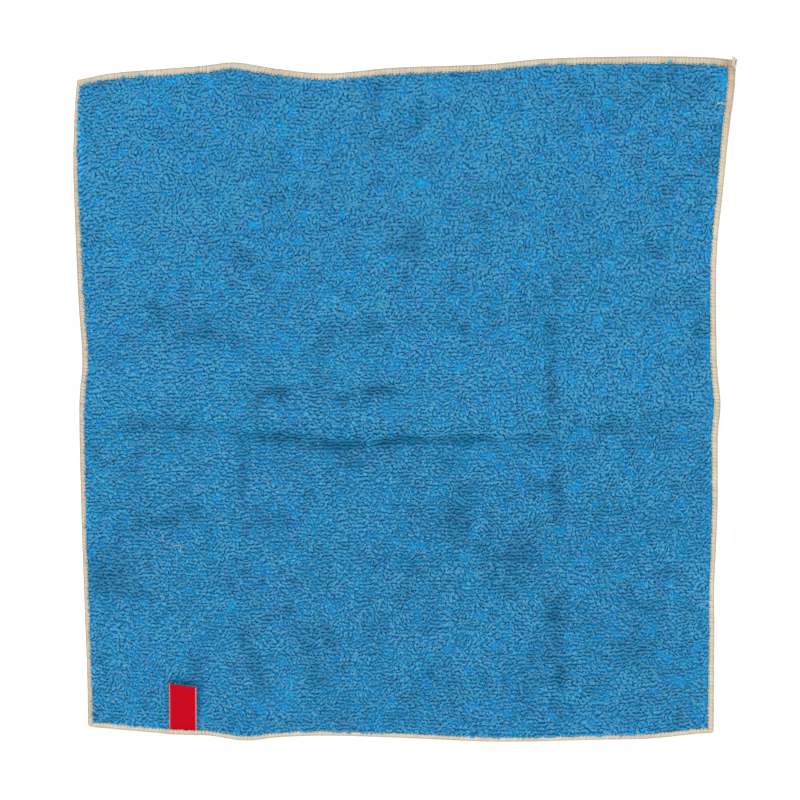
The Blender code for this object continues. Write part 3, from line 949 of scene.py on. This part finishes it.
def loop_turns(rng, roots, nap):
    """How far each loop is turned out of its row and how far it leans over."""
    swirl = np.clip(spots(roots, SWIRLS), -0.5, 1)
    wander = (TURN_WAVE + SWIRL_WAVE * swirl) * np.clip(1 + nap, 0.3, 1)
    stray = TURN_STRAY + SWIRL_STRAY * np.maximum(swirl, 0)
    turn = wander * drift(roots, TURN_WAVE_SIZE, SEEDS["turn"]) + rng.normal(0, stray, len(nap))
    lean = np.radians(LOOP_LEAN) + LEAN_WAVE * drift(roots, LEAN_WAVE_SIZE, SEEDS["lean"])
    lean += rng.normal(0, LEAN_STRAY, len(nap))
    return turn, lean * np.clip(1 + PARTED_UPRIGHT * nap, 0.1, 1)


def stray_roots(rng, roots):
    """The roots, each a little off its place, in rows that wave."""
    roots = roots + rng.normal(0, ROOT_STRAY, roots.shape)
    roots[:, 1] += ROW_WAVE * drift(roots, TURN_WAVE_SIZE, SEEDS["rows"])
    return roots


def loop_sizes(rng, nap, rough):
    """Each loop's shares of the usual sizes, and which loops have sunk."""
    size = rng.normal(1.0, SIZE_STRAY, (len(nap), 3))
    size[:, 1:] *= (1 + np.where(nap < 0, PARTED_THINNER, CLOSED_LARGER) * nap)[:, None]
    size[:, 1] *= 1 - ROUGH_THINNER * rough
    size[:, 2] *= 1 + ROUGH_TALLER * rough
    sunk = rng.random(len(nap)) < SUNK_SHARE * (1 + SUNK_BY_PLACE * (rough - nap))
    size[sunk, 2] *= SUNK_HEIGHT
    return size, sunk


def loop_frames(roots, turn, lean, size):
    """Frames of the loops on the cloth's slopes, pressed down under the tape."""
    frames = turned(turn, lean) * size[:, None, :]
    slope = slope_at(roots)
    frames[:, 2, :] += slope[:, :1] * frames[:, 0, :] + slope[:, 1:] * frames[:, 1, :]
    frames[:, 2, :] *= (1 - PILE_PRESSED * under_tape(roots) / PILE_THICK)[:, None]
    return frames


def loop_tones(rng, roots, nap, sunk):
    """Brightness and hue of each loop's yarn: random, plus painted shade and light by nap and sinking.
    """
    tone = nap_shade_and_light(nap, PARTED_LOOP_SHADE) * np.where(sunk, SUNK_SHADE, 1)
    tone = np.minimum(tone + rng.normal(0, TONE_STRAY, len(nap)), BRIGHTEST)
    tone *= 1 - SHADE_TONE * np.clip(spots(roots, SHADED), -1, 1)
    hue = USUAL_HUE - PARTED_HUE * nap + HUE_WAVE * drift(roots, HUE_WAVE_SIZE, SEEDS["hue"])
    return tone, hue + rng.normal(0, HUE_STRAY, len(nap))


def depth_in_pile(mesh, lift):
    """0 at the roots to 1 at the tips, for each corner of a mesh of loops."""
    corners = np.zeros(len(mesh.vertices) * 3, np.float32)
    mesh.vertices.foreach_get("co", corners)
    height = corners[2::3] / MM - lift
    return np.clip((height - ROOTS_TOP) / (PILE_THICK - ROOTS_TOP - TIPS_BELOW), 0, 1)


def make_pile(look):
    """Loops of the upper face in a few strips, lying in rows or in swirls."""
    rng = np.random.default_rng(SEEDS["loops"])
    shapes = loop_shapes()
    roots = loop_places()
    nap = nap_at(roots)
    turn, lean = loop_turns(rng, roots, nap)
    roots = stray_roots(rng, roots)
    rough = spots(roots, ROUGHER)
    size, sunk = loop_sizes(rng, nap, rough)
    frames = loop_frames(roots, turn, lean, size)
    tone, hue = loop_tones(rng, roots, nap, sunk)
    picks = rng.integers(0, len(shapes), len(roots))
    lift = lift_at(roots)
    places = np.column_stack([roots, lift + ROOTS_TOP - ROOT_DEPTH])
    strip = np.floor((roots[:, 0] / WIDEST + 0.5) * PILE_STRIPS).clip(0, PILE_STRIPS - 1)
    pieces = []
    for number in range(PILE_STRIPS):
        mine = strip == number
        name = f"terry_loops_{number + 1}"
        mesh, owner = joined_copies(name, [(shapes, picks[mine], frames[mine], places[mine])])
        depth = depth_in_pile(mesh, lift[mine][owner])
        uneven = rough[mine][owner]
        # Painted shade at the roots and painted light at the tips, by the pile's roughness
        root_shading = np.where(uneven > 0, ROUGH_ROOT_SHADE, SMOOTH_ROOT_LIGHT) * (1 - depth)
        painted_root_tip_shading = 1 + uneven * (ROUGH_TIP_LIGHT * depth - root_shading)
        add_attribute(mesh, "depth", depth)
        add_attribute(mesh, "tone", tone[mine][owner] * painted_root_tip_shading)
        add_attribute(mesh, "hue", hue[mine][owner])
        piece = add_piece(name, mesh, look)
        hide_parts("terry_cloth")
        pieces.append(piece)
    return pieces


# Edging


def rounded_rim():
    """The outline as one closed run of points with rounded corners, and the side of each point."""
    bottom, right, top, left = SIDES
    rounded = []
    for number, run in enumerate((bottom, right, top[::-1], left[::-1])):
        length = run_of(run)[-1]
        start, stop = CORNER_RADII[number - 1] / length, 1 - CORNER_RADII[number] / length
        rounded.append((along(run, np.linspace(start, stop, RIM_POINTS)), run[-1]))
    t = np.linspace(0, 1, 9)[1:-1, None]  # seven points round a corner, four of them this side's
    rim = []
    labels = []
    for number, (points, corner) in enumerate(rounded):
        following = (number + 1) % 4
        before, after = points[-1], rounded[following][0][0]
        rim += [points, (1 - t) ** 2 * before + 2 * t * (1 - t) * corner + t**2 * after]
        labels += [number] * (RIM_POINTS + 4) + [following] * 3
    return np.vstack(rim), np.array(labels)


def edging_shows(side, share):
    """Width of the edging in sight at a share of a side's length."""
    widths = EDGING_SHOWS[side]
    return np.interp(share, np.linspace(0, 1, len(widths)), widths)


def stitch_shapes():
    """The two strands of a stitch, and the needle's stitch and the chain at its ends."""
    inset, height, apart, width = np.array(STITCH_COURSE).T
    slant = STITCH_SLANT * (inset / BAND_WIDE - 0.5) * np.where(height > BAND_THICK / 2, 1, -1)
    pair = []
    for side in (-1, 1):
        path = np.stack([slant + side * apart, inset, height], axis=1)
        pair.append(template(strand(path, width, STRAND_THICK, THREAD_SIDES)))
    ends = []
    for course, wide in ((NEEDLE_COURSE, NEEDLE_WIDE), (CHAIN_COURSE, CHAIN_WIDE)):
        path = np.array(course)
        path[:, 0] += STITCH_SLANT * (path[1, 1] / BAND_WIDE - 0.5)
        ends.append(template(strand(path, wide, STRAND_THICK, THREAD_SIDES, (0, 1, 0))))
    return pair, ends


def rim_frames(ahead, wide, tall):
    """Frames that run along the rim, point inwards from it and stand up."""
    frames = np.zeros((len(ahead), 3, 3))
    frames[:, :2, 0] = ahead
    frames[:, 0, 1] = -ahead[:, 1] * wide
    frames[:, 1, 1] = ahead[:, 0] * wide
    frames[:, 2, 2] = tall
    return frames


def make_edging(look):
    """Overlock stitches round the rim, one piece for each side."""
    rng = np.random.default_rng(SEEDS["stitches"])
    rim, labels = rounded_rim()
    closed = np.vstack([rim, rim[:1]])
    run = run_of(closed)
    count = round(run[-1] / STITCH_PITCH)
    stops = (np.arange(count) + 0.5) / count * run[-1]

    def on_rim(stop):
        wrapped = stop % run[-1]
        return np.stack([np.interp(wrapped, run, closed[:, axis]) for axis in (0, 1)], axis=1)

    centre = on_rim(stops)
    side = labels[np.searchsorted(run, stops) - 1]
    ahead = on_rim(stops + HEADING_REACH) - on_rim(stops - HEADING_REACH)
    ahead /= np.linalg.norm(ahead, axis=1)[:, None]
    lift = lift_at(centre)
    bulge = (2 * TAPE_THICK + TAPE_LAYER_GAP + CLEAR) * under_tape(centre)
    pair, ends = stitch_shapes()
    pieces = []
    for number, name in enumerate(("bottom", "right", "top", "left")):
        mine = side == number
        total = mine.sum()
        share = (stops[mine] - stops[mine][0]) / (stops[mine][-1] - stops[mine][0])
        if name in ("top", "left"):
            share = 1 - share
        wide = edging_shows(name, share) / BAND_WIDE * rng.normal(1, STITCH_WIDTH_STRAY, total)
        tall = 1 + bulge[mine] / BAND_THICK + rng.normal(0, STITCH_HEIGHT_STRAY, total)
        frames = rim_frames(ahead[mine], wide, tall)
        places = np.column_stack([centre[mine], lift[mine]])
        both = np.concatenate([frames, frames]), np.concatenate([places, places])
        picks = np.repeat([0, 1], total)
        label = f"edging_{name}_stitches"
        mesh, owner = joined_copies(label, [(pair, picks, *both), (ends, picks, *both)])
        tone = rng.normal(EDGING_TONE[name], THREAD_TONE_STRAY, 4 * total)
        wave = THREAD_TONE_WAVE * drift(centre[mine], THREAD_WAVE_SIZE, SEEDS["thread"])
        add_attribute(mesh, "tone", (tone + np.tile(wave, 4))[owner])
        bunched = np.tile(np.clip(spots(centre[mine], BUNCHED), 0, 1), 4)
        add_attribute(mesh, "bunched", bunched[owner])
        piece = add_piece(label, mesh, look)
        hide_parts(f"edging_{name}")
        pieces.append(piece)
    return pieces


def make_loose(name, paths, wide, look):
    """Loose ends of thread or fibre, each a thin strand through its places."""
    bm = bmesh.new()
    for path in paths:
        curve = smooth_curve(path, 4)
        curve[:, :2] -= MIDDLE
        curve[:, 2] += lift_at(curve[:, :2])
        widths = wide * np.linspace(1, END_TAPER, len(curve))
        one = strand(curve, widths, wide, END_SIDES, (0.6, -0.8, 0.1))
        grown = bpy.data.meshes.new("one_end")
        one.to_mesh(grown)
        one.free()
        bm.from_mesh(grown)
        bpy.data.meshes.remove(grown)
    return add_piece(name, mesh_of(name, bm), look)


# Label


def tape_section(x, fold_y, rim_y):
    """Outer face of the folded tape at one x: out over the pile, round the fold and back."""
    rows = smooth_curve(TAPE_COURSE, 4)
    layer = TAPE_THICK + TAPE_LAYER_GAP
    outer = (layer + rows[-1, 2] + TAPE_THICK) / 2
    mouth_y = rim_y + BAND_WIDE + CLEAR
    open_y = mouth_y + rows[:, 0] * (fold_y - outer - mouth_y)
    run_y = np.concatenate([[rim_y + TAPE_SEAM, mouth_y], open_y])
    places = np.stack([np.full(len(run_y), x), run_y], axis=1) - MIDDLE
    lift = lift_at(places)
    lift[:2] = lift_at(np.array([(x, rim_y)]) - MIDDLE)
    low = lift + np.concatenate([[BASE_TOP + CLEAR] * 2, PILE_THICK + CLEAR + rows[:, 1]])
    high = low + layer + np.concatenate([[0, 0], rows[:, 2]])
    y = places[:, 1]
    turn = np.radians(np.linspace(-FOLD_TURN, FOLD_TURN, FOLD_STEPS))
    fold = [(y[-1] + outer * math.cos(a), low[-1] + outer + outer * math.sin(a)) for a in turn]
    run = [*zip(y, low), *fold, *zip(y[::-1], (high + TAPE_THICK)[::-1])]
    return [(x - MIDDLE[0], *place) for place in run]


def make_tape(look):
    """The folded tape: a sheet laid along its outer face and thickened inwards."""
    bottom = SIDES[0] + MIDDLE
    wide = TAPE_RIGHT - TAPE_LEFT
    inner = np.linspace(2 * SELVEDGE, wide - 2 * SELVEDGE, 9)
    columns = np.concatenate([[0, SELVEDGE], inner, [wide - SELVEDGE, wide]])
    pale = np.clip(SELVEDGE_FADES - np.minimum(columns, wide - columns) / SELVEDGE, 0, 1)
    runs = []
    for x in TAPE_LEFT + columns:
        share = (x - TAPE_LEFT) / wide
        fold_y = TAPE_FOLD_LEFT + share * (TAPE_FOLD_RIGHT - TAPE_FOLD_LEFT)
        runs.append(tape_section(x, fold_y, np.interp(x, bottom[:, 0], bottom[:, 1])))
    bm = bmesh.new()
    selvedge = bm.verts.layers.float.new("selvedge")
    for vert, column, row in grid_corners(bm, len(columns), len(runs[0])):
        vert.co = runs[column][row]
        vert[selvedge] = pale[column]
    bmesh.ops.recalc_face_normals(bm, faces=bm.faces)
    bmesh.ops.solidify(bm, geom=bm.faces[:], thickness=TAPE_THICK)
    piece = add_piece("label_tape_woven", mesh_of("label_tape_woven", bm), look)
    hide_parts("label_tape")
    return piece


# Table, light and camera


def make_camera():
    """Straight above the towel."""
    data = bpy.data.cameras.new("above")
    data.lens = LENS
    data.sensor_width = SENSOR
    camera = bpy.data.objects.new("above", data)
    height = VIEW_ACROSS / SENSOR * LENS + PILE_THICK
    camera.location = (VIEW_CENTRE[0] * MM, VIEW_CENTRE[1] * MM, height * MM)
    bpy.context.scene.collection.objects.link(camera)
    bpy.context.scene.camera = camera


def make_table():
    """The plain surface that the towel lies on."""
    bm = bmesh.new()
    bmesh.ops.create_grid(bm, x_segments=1, y_segments=1, size=TABLE_HALF)
    mesh = bpy.data.meshes.new("table")
    bm.to_mesh(mesh)
    bm.free()
    mesh.materials.append(table_look())
    table = bpy.data.objects.new("table", mesh)
    bpy.context.scene.collection.objects.link(table)


def make_lights():
    """Soft and even, a little brighter from past the upper edge."""
    world = bpy.data.worlds.new("studio")
    bpy.context.scene.world = world
    world.use_nodes = True
    world.node_tree.nodes["Background"].inputs["Color"].default_value = (1, 1, 1, 1)
    world.node_tree.nodes["Background"].inputs["Strength"].default_value = SKY_STRENGTH
    data = bpy.data.lights.new("window", "AREA")
    data.shape = "RECTANGLE"
    data.size, data.size_y = WINDOW_WIDE, WINDOW_HIGH
    data.energy = WINDOW_POWER
    light = bpy.data.objects.new("window", data)
    light.location = WINDOW_PLACE
    aim = -light.location.normalized()
    light.rotation_mode = "QUATERNION"
    light.rotation_quaternion = aim.to_track_quat("-Z", "Y")
    bpy.context.scene.collection.objects.link(light)
    bpy.context.scene.view_settings.view_transform = "Standard"


def main():
    make_camera()
    make_table()
    make_lights()
    base = make_base(base_look())
    pile = make_pile(loop_look())
    edging = make_edging(thread_look())
    ends = make_loose("edging_thread_ends", THREAD_ENDS, THREAD_END_WIDE, end_look())
    fibre = make_loose("loose_fibre", LOOSE_FIBRES, FIBRE_WIDE, fibre_look())
    tape = make_tape(tape_look())


main()
